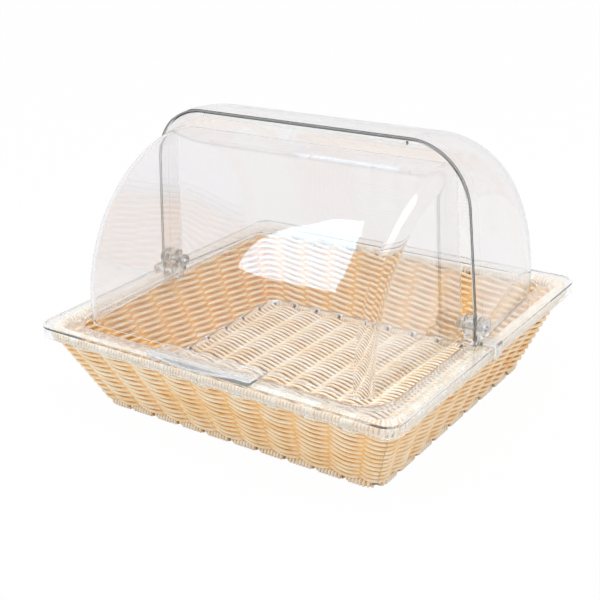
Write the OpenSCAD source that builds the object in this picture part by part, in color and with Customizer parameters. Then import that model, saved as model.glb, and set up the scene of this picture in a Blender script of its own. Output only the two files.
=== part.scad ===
// Countertop bread display bin: a flared woven basket on a wire frame, with a clear
// cover frame on its rim, a fixed rear cover and a front cover that rolls up and back
// inside it. Millimetres, +Z up, +X to the right, the grip at the front (-Y).
// The origin is on the counter, under the middle of the whole bin, grip included.

/* [Cover frame] */
// Length of the clear frame, left to right
frame_len = 354; // [330:1:400]
// Depth of the clear frame, front to back
frame_dep = 325; // [305:1:370]
// Height of the frame's top face above the counter
frame_top = 81.3; // [76:0.1:100]
// Thickness of the frame's sheet
frame_t = 2.5; // [2:0.1:3]
// Radius of the frame's outer corners
frame_corner_r = 14; // [8:0.5:20]
// Width of the flat top at the left and right sides
side_flange_w = 22.5; // [20:0.1:24]
// Width of the flat top at the front and back
end_flange_w = 17.5; // [15.5:0.1:19]
// Radius of the opening's corners
opening_corner_r = 28; // [15:0.5:40]
// Depth of the outer lip that hangs over the basket's rim
lip_drop = 10; // [7:0.1:12]
// Depth of the stiffening lip round the opening
inner_lip_drop = 6; // [4:0.1:8]

/* [Rear cover] */
// Gap between the two covers' roofs
roof_gap = 15.6; // [14:0.1:17]
// Radius between roof and side walls
rear_corner_r = 53; // [48:0.5:58]
// Draft of the rear side walls, in degrees
rear_draft = 4.8; // [4.4:0.1:5.2]
// Wall of the rear cover
rear_t = 2.4; // [2:0.1:3]
// How far the rear cover's front edge lies in front of the hinge line
rear_edge_fwd = 10; // [9.4:0.1:16]
// Width of the thickened hem behind that edge
hem_w = 11; // [6:0.5:16]
// How far the hem stands proud
hem_t = 0.6; // [0.4:0.1:1]
// How far each end of the stop strip stays from where the roof curves down
strip_end_gap = 3.2; // [1:0.1:30]
// Width of the stop strip, front to back
strip_w = 3.4; // [2:0.1:5]
// Depth of the stop strip, top to bottom
strip_h = 3; // [2:0.1:4]

/* [Front cover] */
// How far the front cover stands inside the opening's front edge
front_inset = 6.5; // [5:0.1:8]
// Radius between roof and side walls
front_corner_r = 12; // [9:0.5:18]
// Draft of the front side walls, in degrees
front_draft = 3.3; // [2.8:0.1:3.8]
// Wall of the front cover
front_t = 2.5; // [2:0.1:3]
// How far the front cover's rear edge lies in front of the hinge line
front_edge_fwd = 1; // [0:0.1:3]
// Gap between the front cover's lower edge and the frame's top face
front_lift = 0.7; // [0.4:0.1:3]

/* [Lift grip] */
// Length of the grip
grip_len = 101; // [70:1:140]
// Height of the grip above the frame
grip_h = 8.9; // [8:0.1:12]
// How far the grip's curved lip stands out in front of the frame
lip_reach = 11.5; // [8:0.1:16]
// Thickness of the grip's sheet
grip_t = 2.3; // [2:0.1:3]
// Outer radius of the grip's bend
grip_bend_r = 4.5; // [3.5:0.1:5.5]

/* [Hinges] */
// How far the hinge line lies in front of the frame's middle
hinge_fwd = 4; // [0:0.5:6]
// Height of the hinge pins above the frame's top face
hinge_rise = 12.7; // [12.2:0.1:14]
// Height of the covers' round axis above the frame's top face
dome_rise = 8.2; // [7.5:0.1:9.5]
// Radius of the hinge pins
pin_r = 2.5; // [2:0.1:2.8]
// Radius of the brackets' round outer cheeks
cheek_r = 9; // [8:0.1:9.3]
// Width of the bracket's body, front to back
bracket_w = 16; // [14:0.5:18]
// Width of the arm that crosses the frame
arm_w = 12; // [8:0.5:13]
// Thickness of the bracket's plates
bracket_t = 3; // [2.4:0.1:3.2]
// Width of the bracket's inner ear
ear_w = 8; // [7:0.1:10]
// Thickness of the bracket's outer cheek
outer_cheek_t = 6; // [4:0.1:6.6]
// Gap between a bracket's ear and its outer cheek
cheek_gap = 1.2; // [0.8:0.1:2]
// How far the bracket's hook reaches down outside the lip
hook_drop = 9.3; // [6:0.1:12]

/* [Basket] */
// Radius of the bound rim
rim_r = 5; // [4.5:0.1:5.2]
// Radius of the rim's steel wire
rim_wire_r = 2.5; // [2:0.1:3]
// Radius of the rim's corners, on its centre line
rim_corner_r = 16; // [12:0.5:24]
// Radius of the bound foot ring
foot_r = 4.5; // [4:0.1:5]
// Radius of the foot ring's steel wire
foot_wire_r = 2.2; // [1.8:0.1:2.6]
// Radius of the foot ring's corners, on its centre line
foot_corner_r = 12; // [8:0.5:16]
// How much further out the rim lies than the foot, on each side
flare = 30; // [20:0.1:40]
// Thickness of the woven walls where the strands pass over an upright
wall_t = 10.2; // [9:0.1:10.6]
// Thickness of the woven walls midway between uprights
wall_core_t = 3.4; // [2.8:0.1:4.6]
// Radius of the upright wires in the walls
upright_r = 1.5; // [1.2:0.1:1.8]
// Radius of the corner posts
post_r = 1.8; // [1.4:0.1:2]
// Uprights in the front wall and in the back wall
long_uprights = 9; // [5:1:11]
// Uprights in each side wall
short_uprights = 8; // [4:1:10]
// Thickness of the woven floor where the strands pass over a rib
floor_t = 8.4; // [7:0.1:9]
// Thickness of the woven floor midway between ribs
floor_core_t = 3.4; // [2.8:0.1:4.6]
// Rows of strands in the floor
floor_rows = 41; // [25:1:45]
// Height of the floor's underside above the counter
floor_lift = 1.3; // [0.8:0.1:2]

/* [Hidden] */
$fn = 96;

CLEAR = [0.90, 0.93, 0.94, 0.35];
CLEAR_EDGE = [0.72, 0.75, 0.70, 0.6];
STEEL = [0.55, 0.56, 0.57];
WICKER = [0.93, 0.80, 0.60];
WICKER_PALE = [0.96, 0.87, 0.72];

// Clearances
touch = 0.3;          // soft pieces lie this far from what carries them
fixed_fit = 0.03;     // radial, pins in brackets, caps and the rear cover
turning_fit = 0.06;   // radial, pins in the front cover
side_play = 0.15;     // along the pins, between neighbouring faces
wire_fit = 0.1;       // radial, wires in the weave
wire_end_gap = 0.9;   // between the end of an upright and the ring it points to
leg_gap = 1.5;        // between a bracket's inner leg and the opening's edge
rear_play = 2.1;      // between a bracket's outer cheek and the rear cover's wall
past = 1;             // cutters run this far past what they cut
far = 500;            // larger than anything here
arc_steps = 12;       // points on each rounded corner of a cover's outline
cover_sides = 360;    // sides of the covers' round surfaces in a preview

// Frame
half_len = frame_len / 2;
half_dep = frame_dep / 2;
open_half_len = half_len - side_flange_w;
open_half_dep = half_dep - end_flange_w;
frame_under = frame_top - frame_t;

// Hinge line and the covers' common round axis
hinge_y = -hinge_fwd;
hinge_z = frame_top + hinge_rise;
dome_z = frame_top + dome_rise;
rear_edge_y = hinge_y - rear_edge_fwd;
front_edge_y = hinge_y - front_edge_fwd;
front_foot_z = frame_top + front_lift;

// Stations along each hinge pin, measured outwards from the middle. The brackets' inner
// legs stand in the opening, so the stack starts there and sets how wide the covers are
head_t = 1.6;
head_r = 4.4;
boss_r = 5.5;
washer_t = 0.7;
boss_proud = 1.8;     // of the front cover's wall, outside
boss_inner = 1.3;     // and inside
cheek_in = open_half_len - leg_gap - bracket_t;
washer_in = cheek_in - side_play - washer_t;
boss_out = washer_in - side_play;
front_half_w = boss_out - boss_proud;
front_wall_in = front_half_w - front_t;
boss_in = front_wall_in - boss_inner;
outer_cheek_in = cheek_in + bracket_t + cheek_gap;
outer_cheek_out = outer_cheek_in + outer_cheek_t;
rear_boss_in = outer_cheek_out + side_play;
rear_wall_in = outer_cheek_out + rear_play;
rear_half_w = rear_wall_in + rear_t;
rear_boss_out = rear_half_w + hem_t + 0.2;
cap_t = 2.4;
cap_in = rear_boss_out + side_play;
cap_out = cap_in + cap_t;
cap_r = cheek_r - 0.5;
hook_t = 2.4;
hook_in = half_len + side_play;
leg_drop = 6.3;       // how far the bracket's inner leg reaches below the frame's top

// Roofs
front_r = open_half_dep - front_inset - hinge_fwd;
rear_r = front_r + roof_gap + rear_t;

// The grip's lip stands in front of the frame, so the whole is moved back by half of that
origin_back = lip_reach / 2;

// Basket
rim_z = frame_under - touch - rim_r;
rim_inset = frame_t + 0.6 + rim_r;
rim_half_len = half_len - rim_inset;
rim_half_dep = half_dep - rim_inset;
foot_flat = 0.5;      // the foot ring is flattened this much where it stands
foot_z = foot_r - foot_flat;
foot_half_len = rim_half_len - flare;
foot_half_dep = rim_half_dep - flare;
lean = atan(flare / (rim_z - foot_z));
slope_len = (rim_z - foot_z) / cos(lean);
wall_start = foot_r + touch;
wall_end = slope_len - rim_r;
mitre_offset = rim_half_len - rim_half_dep;
mitre_gap = 0.3;
floor_edge = foot_r + touch;
wall_pad_r = 16;      // radius of the strands' bulge over an upright
floor_pad_r = 20;     // and over a rib of the floor
row_groove = 1.1;     // width of the groove between neighbouring rows
groove_floor = 0.4;   // and how far above the thin part it ends
rib_z = floor_lift + floor_t / 2;

function arc_points(cx, cy, r, a0, a1) =
    [for (i = [0:arc_steps]) let (a = a0 + (a1 - a0) * i / arc_steps)
        [cx + r * cos(a), cy + r * sin(a)]];

// Half length of a cover's straight roof
function roof_half(half_w, r, corner, draft) =
    half_w - tan(draft) * (r - corner) - corner / cos(draft);

// Half outline of a cover: radius across, distance from the middle along the hinge line
function cover_outline(half_w, r, corner, draft) =
    let (cx = roof_half(half_w, r, corner, draft),
         upper = arc_points(r - corner, cx, corner, 0, 90 - draft),
         last = len(upper) - 1)
    concat([[0, -half_w]], [for (i = [0:last]) [upper[last - i][0], -upper[last - i][1]]],
        upper, [[0, half_w]]);

// Solid of revolution about the covers' axis
module cover_solid(half_w, r, corner, draft) {
    translate([0, hinge_y, dome_z])
        rotate([0, 90, 0])
            rotate_extrude($fn = cover_sides)
                polygon(cover_outline(half_w, r, corner, draft));
}

// Everything behind (side = 1) or in front of (side = -1) a line, above a height
module beyond(y, z, side) {
    translate([-far / 2, side > 0 ? y : y - far, z]) cube(far);
}

// Cylinder along X, from one station to another
module along_x(x0, x1, r) {
    translate([x0, hinge_y, hinge_z]) rotate([0, 90, 0]) cylinder(h = x1 - x0, r = r);
}

// Slab with rounded corners, centred, standing on its lower face
module rounded_slab(half_x, half_y, r, h) {
    linear_extrude(h)
        union() {
            square([2 * (half_x - r), 2 * half_y], center = true);
            square([2 * half_x, 2 * (half_y - r)], center = true);
            for (sx = [-1, 1], sy = [-1, 1])
                translate([sx * (half_x - r), sy * (half_y - r)]) circle(r);
        }
}

// Round bar bent to a rectangle with rounded corners
module wire_ring(half_x, half_y, corner, r) {
    run_x = 2 * (half_x - corner);
    run_y = 2 * (half_y - corner);
    for (s = [-1, 1]) {
        translate([-run_x / 2, s * half_y, 0]) rotate([0, 90, 0]) cylinder(h = run_x, r = r);
        translate([s * half_x, run_y / 2, 0]) rotate([90, 0, 0]) cylinder(h = run_y, r = r);
    }
    for (turn = [0:3]) {
        sx = turn == 0 || turn == 3 ? 1 : -1;
        sy = turn < 2 ? 1 : -1;
        translate([sx * (half_x - corner), sy * (half_y - corner), 0])
            rotate([0, 0, 90 * turn])
                rotate_extrude(angle = 90) translate([corner, 0]) circle(r);
    }
}

// Straight bar between two points
module rod(p, q, r) {
    d = q - p;
    translate(p)
        rotate([0, acos(d[2] / norm(d)), atan2(d[1], d[0])])
            cylinder(h = norm(d), r = r);
}

// Same bar, shortened at both ends (or lengthened, with negative cuts)
module trimmed_rod(p, q, r, cut_p, cut_q) {
    u = (q - p) / norm(q - p);
    rod(p + u * cut_p, q - u * cut_q, r);
}

/* ---- Cover frame ---- */

module base_frame() {
    color(CLEAR)
        difference() {
            translate([0, 0, frame_top - lip_drop])
                rounded_slab(half_len, half_dep, frame_corner_r, lip_drop);
            difference() {
                translate([0, 0, frame_top - lip_drop - past])
                    rounded_slab(half_len - frame_t, half_dep - frame_t, frame_corner_r - frame_t,
                        lip_drop - frame_t + past);
                translate([0, 0, frame_top - inner_lip_drop])
                    rounded_slab(open_half_len + frame_t, open_half_dep + frame_t,
                        opening_corner_r + frame_t, inner_lip_drop);
            }
            translate([0, 0, frame_top - lip_drop - past])
                rounded_slab(open_half_len, open_half_dep, opening_corner_r, lip_drop + 2 * past);
        }
}

/* ---- Covers ---- */

module rear_outer(extra) {
    cover_solid(rear_half_w + extra, rear_r + extra, rear_corner_r + extra, rear_draft);
}

module rear_inner() {
    cover_solid(rear_wall_in, rear_r - rear_t, rear_corner_r - rear_t, rear_draft);
}

module rear_shell() {
    notch = arm_w + 2 * touch;
    color(CLEAR)
        difference() {
            union() {
                difference() {
                    union() {
                        intersection() {
                            rear_outer(0);
                            beyond(rear_edge_y, frame_top, 1);
                        }
                        intersection() {
                            rear_outer(hem_t);
                            translate([-far / 2, rear_edge_y, frame_top]) cube([far, hem_w, far]);
                        }
                    }
                    rear_inner();
                }
                for (s = [0, 1]) mirror([s, 0, 0]) along_x(rear_boss_in, rear_boss_out, cheek_r);
            }
            for (s = [0, 1]) mirror([s, 0, 0]) {
                along_x(rear_boss_in - past, rear_boss_out + past, pin_r + fixed_fit);
                translate([rear_boss_in - 2 * past, hinge_y - notch / 2, frame_top - past])
                    cube([rear_t + 6 * past, notch, bracket_t + touch + past]);
            }
        }
}

// Bar whose flat top just clears the roof's lowest line, at the front edge
module stop_strip() {
    roof_rise = sqrt(pow(rear_r - rear_t, 2) - pow(rear_edge_fwd, 2));
    strip_len = 2 * (roof_half(rear_wall_in, rear_r - rear_t, rear_corner_r - rear_t, rear_draft)
        - strip_end_gap);
    color(CLEAR_EDGE)
        translate([-strip_len / 2, rear_edge_y, dome_z + roof_rise - touch - strip_h])
            cube([strip_len, strip_w, strip_h]);
}

module front_shell() {
    color(CLEAR)
        difference() {
            union() {
                difference() {
                    intersection() {
                        cover_solid(front_half_w, front_r, front_corner_r, front_draft);
                        beyond(front_edge_y, front_foot_z, -1);
                    }
                    cover_solid(front_half_w - front_t, front_r - front_t,
                        front_corner_r - front_t, front_draft);
                }
                for (s = [0, 1]) mirror([s, 0, 0]) along_x(boss_in, boss_out, boss_r);
            }
            for (s = [0, 1]) mirror([s, 0, 0])
                along_x(boss_in - past, boss_out + past, pin_r + turning_fit);
        }
}

// Bent sheet: a tongue from the cover's foot across the frame, a riser at the frame's
// front edge, and a lip that bends outwards from it and ends in a flat curve
module lift_grip() {
    foot_z = frame_top + touch;
    top_z = frame_top + grip_h;
    riser_in = grip_t - half_dep;
    bend_y = riser_in - grip_bend_r;
    bend_z = top_z - grip_bend_r;
    half = grip_len / 2;
    curve_r = (half * half + lip_reach * lip_reach) / (2 * lip_reach);
    color(CLEAR_EDGE) {
        difference() {
            translate([-half, -half_dep, foot_z]) cube([grip_len, half_dep - front_r / 2, grip_t]);
            cover_solid(front_half_w, front_r, front_corner_r, front_draft);
        }
        translate([-half, -half_dep, foot_z]) cube([grip_len, grip_t, bend_z - foot_z]);
        intersection() {
            translate([-half, 0, 0])
                rotate([90, 0, 90])
                    linear_extrude(grip_len)
                        union() {
                            translate([bend_y, bend_z])
                                intersection() {
                                    difference() {
                                        circle(grip_bend_r);
                                        circle(grip_bend_r - grip_t);
                                    }
                                    square(grip_bend_r);
                                }
                            translate([-half_dep - lip_reach - past, top_z - grip_t])
                                square([bend_y + half_dep + lip_reach + past, grip_t]);
                        }
            translate([0, curve_r - half_dep - lip_reach, 0]) cylinder(h = far, r = curve_r);
        }
    }
}

/* ---- Hinges ---- */

// Narrow plate across the hinge line with a rounded top, from below the frame's top
module ear() {
    top_z = hinge_z + cheek_r - ear_w / 2;
    foot = frame_top - leg_drop;
    translate([cheek_in, hinge_y - ear_w / 2, foot]) cube([bracket_t, ear_w, top_z - foot]);
    translate([cheek_in, hinge_y, top_z])
        rotate([0, 90, 0])
            cylinder(h = bracket_t, r = ear_w / 2);
}

// Clip on the right: an ear whose leg stands in the opening, an arm across the frame, a
// hook over the lip, and an outer cheek; ear and cheek hold the pin
module hinge_bracket() {
    arm_top = frame_top + bracket_t;
    hook_out = hook_in + hook_t;
    color(CLEAR)
        difference() {
            union() {
                ear();
                along_x(outer_cheek_in, outer_cheek_out, cheek_r);
                translate([outer_cheek_in, hinge_y - bracket_w / 2, frame_top])
                    cube([outer_cheek_t, bracket_w, hinge_rise]);
                translate([cheek_in, hinge_y - bracket_w / 2, frame_top])
                    cube([outer_cheek_out - cheek_in, bracket_w, bracket_t]);
                translate([outer_cheek_in, hinge_y - arm_w / 2, frame_top])
                    cube([hook_out - outer_cheek_in, arm_w, bracket_t]);
                translate([hook_in, hinge_y - arm_w / 2, frame_top - hook_drop])
                    cube([hook_t, arm_w, hook_drop + bracket_t]);
            }
            along_x(cheek_in - past, outer_cheek_out + past, pin_r + fixed_fit);
        }
}

module hinge_pin() {
    color(CLEAR_EDGE) {
        along_x(boss_in - side_play, cap_out, pin_r);
        along_x(boss_in - side_play - head_t, boss_in - side_play, head_r);
    }
}

module washer_ring(x0, x1, r, bore) {
    difference() {
        along_x(x0, x1, r);
        along_x(x0 - past, x1 + past, bore);
    }
}

module pin_cap() {
    rim = 0.6;
    color(CLEAR_EDGE) {
        washer_ring(cap_in, cap_out - rim, cap_r, pin_r + fixed_fit);
        washer_ring(cap_out - rim, cap_out, cap_r - rim, pin_r + fixed_fit);
    }
}

module pivot_washer() {
    color(CLEAR_EDGE) washer_ring(washer_in, washer_in + washer_t, boss_r, pin_r + turning_fit);
}

module hinge_bracket_right() { hinge_bracket(); }
module hinge_bracket_left() { mirror([1, 0, 0]) hinge_bracket(); }
module hinge_pin_right() { hinge_pin(); }
module hinge_pin_left() { mirror([1, 0, 0]) hinge_pin(); }
module pin_cap_right() { pin_cap(); }
module pin_cap_left() { mirror([1, 0, 0]) pin_cap(); }
module pivot_washer_right() { pivot_washer(); }
module pivot_washer_left() { mirror([1, 0, 0]) pivot_washer(); }

/* ---- Basket ---- */

module rim_wire() {
    color(STEEL)
        translate([0, 0, rim_z]) wire_ring(rim_half_len, rim_half_dep, rim_corner_r, rim_wire_r);
}

module rim_binding() {
    color(WICKER_PALE)
        translate([0, 0, rim_z])
            difference() {
                wire_ring(rim_half_len, rim_half_dep, rim_corner_r, rim_r);
                wire_ring(rim_half_len, rim_half_dep, rim_corner_r, rim_wire_r + wire_fit);
            }
}

module foot_wire() {
    color(STEEL)
        translate([0, 0, foot_z])
            wire_ring(foot_half_len, foot_half_dep, foot_corner_r, foot_wire_r);
}

module foot_binding() {
    color(WICKER_PALE)
        intersection() {
            translate([0, 0, foot_z])
                difference() {
                    wire_ring(foot_half_len, foot_half_dep, foot_corner_r, foot_r);
                    wire_ring(foot_half_len, foot_half_dep, foot_corner_r, foot_wire_r + wire_fit);
                }
            translate([-far / 2, -far / 2, 0]) cube(far);
        }
}

// Places on the two rings' centre lines that one upright joins, right of the middle
// and front of the middle being positive shares of the half length
function long_foot(share, sy) = [share * foot_half_len, sy * foot_half_dep, foot_z];
function long_rim(share, sy) = [share * rim_half_len, sy * rim_half_dep, rim_z];
function short_foot(share, sx) = [sx * foot_half_len, share * foot_half_dep, foot_z];
function short_rim(share, sx) = [sx * rim_half_len, share * rim_half_dep, rim_z];
function share_of(i, count) = 2 * (i + 1) / (count + 1) - 1;
function corner_place(half_x, half_y, corner, z, sx, sy) =
    [sx * (half_x - corner + corner * sqrt(0.5)), sy * (half_y - corner + corner * sqrt(0.5)), z];

module corner_rods(r, cut_foot, cut_rim) {
    for (sx = [-1, 1], sy = [-1, 1])
        trimmed_rod(corner_place(foot_half_len, foot_half_dep, foot_corner_r, foot_z, sx, sy),
            corner_place(rim_half_len, rim_half_dep, rim_corner_r, rim_z, sx, sy),
            r, cut_foot, cut_rim);
}

module long_rods(sy, r, cut_foot, cut_rim) {
    for (i = [0:long_uprights - 1]) {
        s = share_of(i, long_uprights);
        trimmed_rod(long_foot(s, sy), long_rim(s, sy), r, cut_foot, cut_rim);
    }
}

module short_rods(sx, r, cut_foot, cut_rim) {
    for (i = [0:short_uprights - 1]) {
        s = share_of(i, short_uprights);
        trimmed_rod(short_foot(s, sx), short_rim(s, sx), r, cut_foot, cut_rim);
    }
}

module corner_posts() {
    color(STEEL) corner_rods(post_r, foot_r + wire_end_gap, rim_r + wire_end_gap);
}

module wall_uprights() {
    color(STEEL)
        for (s = [-1, 1]) {
            long_rods(s, upright_r, foot_r + wire_end_gap, rim_r + wire_end_gap);
            short_rods(s, upright_r, foot_r + wire_end_gap, rim_r + wire_end_gap);
        }
}

// What comes off the walls at a corner: all that lies outside the post, so that the
// corner is blunt, and a groove that the rim lies over
module corner_trim(sx, sy) {
    p = corner_place(foot_half_len, foot_half_dep, foot_corner_r, foot_z, sx, sy);
    q = corner_place(rim_half_len, rim_half_dep, rim_corner_r, rim_z, sx, sy);
    run = norm([q[0] - p[0], q[1] - p[1]]);
    translate(p)
        rotate([0, 0, atan2(sy, sx)])
            rotate([0, atan(run / (rim_z - foot_z)), 0])
                translate([wall_t / 2, -far / 2, -far / 2]) cube(far);
}

module rim_groove() {
    translate([0, 0, rim_z])
        wire_ring(rim_half_len, rim_half_dep, rim_corner_r, rim_r + touch);
}

// Bulge of the strands over one wire: two round faces, back to back
module pad(p, q, normal, thick, pad_r) {
    shift = (pad_r - thick / 2) * normal;
    intersection() {
        rod(p + shift, q + shift, pad_r);
        rod(p - shift, q - shift, pad_r);
    }
}

// Front wall: a thin leaning slab, mitred at the corners, with a bulge over each upright
// and a hole for each wire
module long_wall() {
    reach = rim_half_len + wall_t;
    open_side = mitre_offset - mitre_gap;
    normal = [0, -cos(lean), -sin(lean)];
    difference() {
        intersection() {
            union() {
                translate([0, -foot_half_dep, foot_z])
                    rotate([lean, 0, 0])
                        translate([-reach, -wall_core_t / 2, wall_start])
                            cube([2 * reach, wall_core_t, wall_end - wall_start]);
                for (i = [0:long_uprights - 1])
                    pad(long_foot(share_of(i, long_uprights), -1),
                        long_rim(share_of(i, long_uprights), -1), normal, wall_t, wall_pad_r);
                corner_rods(wall_t / 2, 0, 0);
            }
            translate([0, -foot_half_dep, foot_z])
                rotate([lean, 0, 0])
                    translate([-reach, -wall_t, wall_start])
                        cube([2 * reach, 2 * wall_t, wall_end - wall_start]);
            linear_extrude(rim_z)
                polygon([[-open_side, 0], [open_side, 0], [open_side + far, -far],
                    [-open_side - far, -far]]);
        }
        long_rods(-1, upright_r + wire_fit, 0, 0);
        corner_rods(post_r + wire_fit, 0, 0);
        for (s = [-1, 1]) corner_trim(s, -1);
        rim_groove();
    }
}

// Right wall, made the same way
module short_wall() {
    reach = rim_half_dep + wall_t;
    open_side = mitre_offset + mitre_gap;
    normal = [cos(lean), 0, -sin(lean)];
    difference() {
        intersection() {
            union() {
                translate([foot_half_len, 0, foot_z])
                    rotate([0, lean, 0])
                        translate([-wall_core_t / 2, -reach, wall_start])
                            cube([wall_core_t, 2 * reach, wall_end - wall_start]);
                for (i = [0:short_uprights - 1])
                    pad(short_foot(share_of(i, short_uprights), 1),
                        short_rim(share_of(i, short_uprights), 1), normal, wall_t, wall_pad_r);
                corner_rods(wall_t / 2, 0, 0);
            }
            translate([foot_half_len, 0, foot_z])
                rotate([0, lean, 0])
                    translate([-wall_t, -reach, wall_start])
                        cube([2 * wall_t, 2 * reach, wall_end - wall_start]);
            linear_extrude(rim_z)
                polygon([[open_side, 0], [open_side + far, -far], [open_side + far, far]]);
        }
        short_rods(1, upright_r + wire_fit, 0, 0);
        corner_rods(post_r + wire_fit, 0, 0);
        for (s = [-1, 1]) corner_trim(1, s);
        rim_groove();
    }
}

module wall_weave_front() { color(WICKER) long_wall(); }
module wall_weave_back() { color(WICKER) mirror([0, 1, 0]) long_wall(); }
module wall_weave_right() { color(WICKER) short_wall(); }
module wall_weave_left() { color(WICKER) mirror([1, 0, 0]) short_wall(); }

module rib_rods(r, extra) {
    reach = foot_half_dep - floor_edge + extra;
    for (i = [0:long_uprights - 1])
        rod([share_of(i, long_uprights) * foot_half_len, -reach, rib_z],
            [share_of(i, long_uprights) * foot_half_len, reach, rib_z], r);
}

module floor_ribs() {
    color(STEEL) rib_rods(upright_r, 0);
}

// Thin slab with a bulge over each rib and, on top, a groove between neighbouring rows
module floor_weave() {
    reach_x = foot_half_len - floor_edge;
    reach_y = foot_half_dep - floor_edge;
    color(WICKER)
        difference() {
            union() {
                translate([0, 0, rib_z - floor_core_t / 2])
                    rounded_slab(reach_x, reach_y, foot_corner_r - floor_edge, floor_core_t);
                for (i = [0:long_uprights - 1])
                    pad([share_of(i, long_uprights) * foot_half_len, -reach_y, rib_z],
                        [share_of(i, long_uprights) * foot_half_len, reach_y, rib_z],
                        [0, 0, 1], floor_t, floor_pad_r);
            }
            for (i = [1:floor_rows - 1])
                translate([-reach_x - past, (2 * i / floor_rows - 1) * reach_y - row_groove / 2,
                    rib_z + floor_core_t / 2 + groove_floor])
                    cube([2 * (reach_x + past), row_groove, floor_t]);
            rib_rods(upright_r + wire_fit, past);
        }
}

module placed() {
    translate([0, origin_back, 0]) children();
}

placed() base_frame();
placed() rear_shell();
placed() stop_strip();
placed() front_shell();
placed() lift_grip();
placed() hinge_bracket_left();
placed() hinge_bracket_right();
placed() hinge_pin_left();
placed() hinge_pin_right();
placed() pin_cap_left();
placed() pin_cap_right();
placed() pivot_washer_left();
placed() pivot_washer_right();
placed() rim_wire();
placed() rim_binding();
placed() foot_wire();
placed() foot_binding();
placed() corner_posts();
placed() wall_uprights();
placed() wall_weave_front();
placed() wall_weave_back();
placed() wall_weave_left();
placed() wall_weave_right();
placed() floor_ribs();
placed() floor_weave();
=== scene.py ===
"""Looks of a countertop bread display bin: a flared basket woven from strand on a steel
wire frame, and a clear cover set whose front part rolls up and back inside the rear part.

Sizes are in millimetres and are turned to metres where meshes are made. X runs along the
hinge line, the grip is at -Y, and Z is up from the counter.
"""

from __future__ import annotations

import logging
import math
import random
from collections.abc import Iterable, Sequence
from dataclasses import dataclass, field
from enum import Enum

import bpy
from mathutils import Matrix, Vector
from mathutils.kdtree import KDTree

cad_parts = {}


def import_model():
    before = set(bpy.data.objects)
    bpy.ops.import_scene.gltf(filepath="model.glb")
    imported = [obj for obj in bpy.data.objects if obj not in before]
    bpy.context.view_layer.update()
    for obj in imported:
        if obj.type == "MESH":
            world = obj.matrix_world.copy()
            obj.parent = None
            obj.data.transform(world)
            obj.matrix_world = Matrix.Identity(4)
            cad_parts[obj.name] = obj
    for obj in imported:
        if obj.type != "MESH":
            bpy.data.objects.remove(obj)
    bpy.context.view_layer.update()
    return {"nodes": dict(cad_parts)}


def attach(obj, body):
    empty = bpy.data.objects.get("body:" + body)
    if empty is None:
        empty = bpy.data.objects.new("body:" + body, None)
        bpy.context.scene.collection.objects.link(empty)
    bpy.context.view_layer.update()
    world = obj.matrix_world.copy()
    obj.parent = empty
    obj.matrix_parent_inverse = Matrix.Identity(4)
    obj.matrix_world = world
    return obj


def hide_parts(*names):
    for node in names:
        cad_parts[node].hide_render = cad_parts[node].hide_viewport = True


LOG = logging.getLogger("bread_bin")
MM = 0.001
PAINTED_SHADE_ATTRIBUTE = "painted_shade_mask"
FLANK_ATTRIBUTE = "flank"
PAINTED_SHADE_FADE = 0.7
SHARP_DEG = 30.0

Point = tuple[float, float, float]
Plan = tuple[float, float]


class Body(Enum):
    """The two rigid bodies that pieces ride on."""

    BIN = "bin"
    FRONT_COVER = "front_cover"


class Slot(Enum):
    """Names of material slots, which no piece in the script uses."""

    WOVEN = "woven_wicker"
    BOUND = "bound_wicker"
    SHEET = "clear_sheet"


# ---------------------------------------------------------------- helpers


def linear(hex_code: str) -> tuple[float, float, float, float]:
    """Turn an sRGB hex colour into Blender's linear colour.

    Args:
        hex_code: Six hexadecimal digits.

    Returns:
        Red, green, blue and an alpha of 1.
    """
    shares = [int(hex_code[i : i + 2], 16) / 255 for i in (0, 2, 4)]
    red, green, blue = (
        c / 12.92 if c <= 0.04045 else ((c + 0.055) / 1.055) ** 2.4 for c in shares
    )
    return red, green, blue, 1.0


def add_node(
    tree: bpy.types.NodeTree,
    kind: str,
    settings: dict[str, object] | None = None,
    values: dict[str | int, object] | None = None,
) -> bpy.types.Node:
    """Add one shader node; a value that is a socket is linked, any other is set.

    Args:
        tree: Node tree that gets the node.
        kind: Blender's name of the node type.
        settings: Properties of the node itself.
        values: Input values or sockets, by input name or number.

    Returns:
        The new node.
    """
    node = tree.nodes.new(kind)
    for name, value in (settings or {}).items():
        setattr(node, name, value)
    for name, value in (values or {}).items():
        if isinstance(value, bpy.types.NodeSocket):
            tree.links.new(value, node.inputs[name])
        else:
            node.inputs[name].default_value = value
    return node


def new_material(name: str) -> tuple[bpy.types.Material, bpy.types.Node]:
    """Make a material with only an output node in it.

    Args:
        name: Name of the finish.

    Returns:
        The material and its output node.
    """
    material = bpy.data.materials.new(name)
    material.use_nodes = True
    material.node_tree.nodes.clear()
    return material, material.node_tree.nodes.new("ShaderNodeOutputMaterial")


def dress(piece: bpy.types.Object, material: bpy.types.Material) -> None:
    """Give every material slot of a piece one material.

    Args:
        piece: The piece to dress.
        material: Its finish.
    """
    if not piece.data.materials:
        piece.data.materials.append(material)
    for index in range(len(piece.data.materials)):
        piece.data.materials[index] = material


def deselect() -> None:
    """Leave nothing selected, so that an operator only acts on what is picked next."""
    bpy.ops.object.select_all(action="DESELECT")


def pick(piece: bpy.types.Object) -> None:
    """Select one object only and make it the active one.

    Args:
        piece: The object to pick.
    """
    deselect()
    piece.select_set(True)
    bpy.context.view_layer.objects.active = piece


def smooth(piece: bpy.types.Object) -> None:
    """Shade a piece smooth and keep its real edges sharp."""
    pick(piece)
    bpy.ops.object.shade_smooth_by_angle(angle=math.radians(SHARP_DEG))


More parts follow.
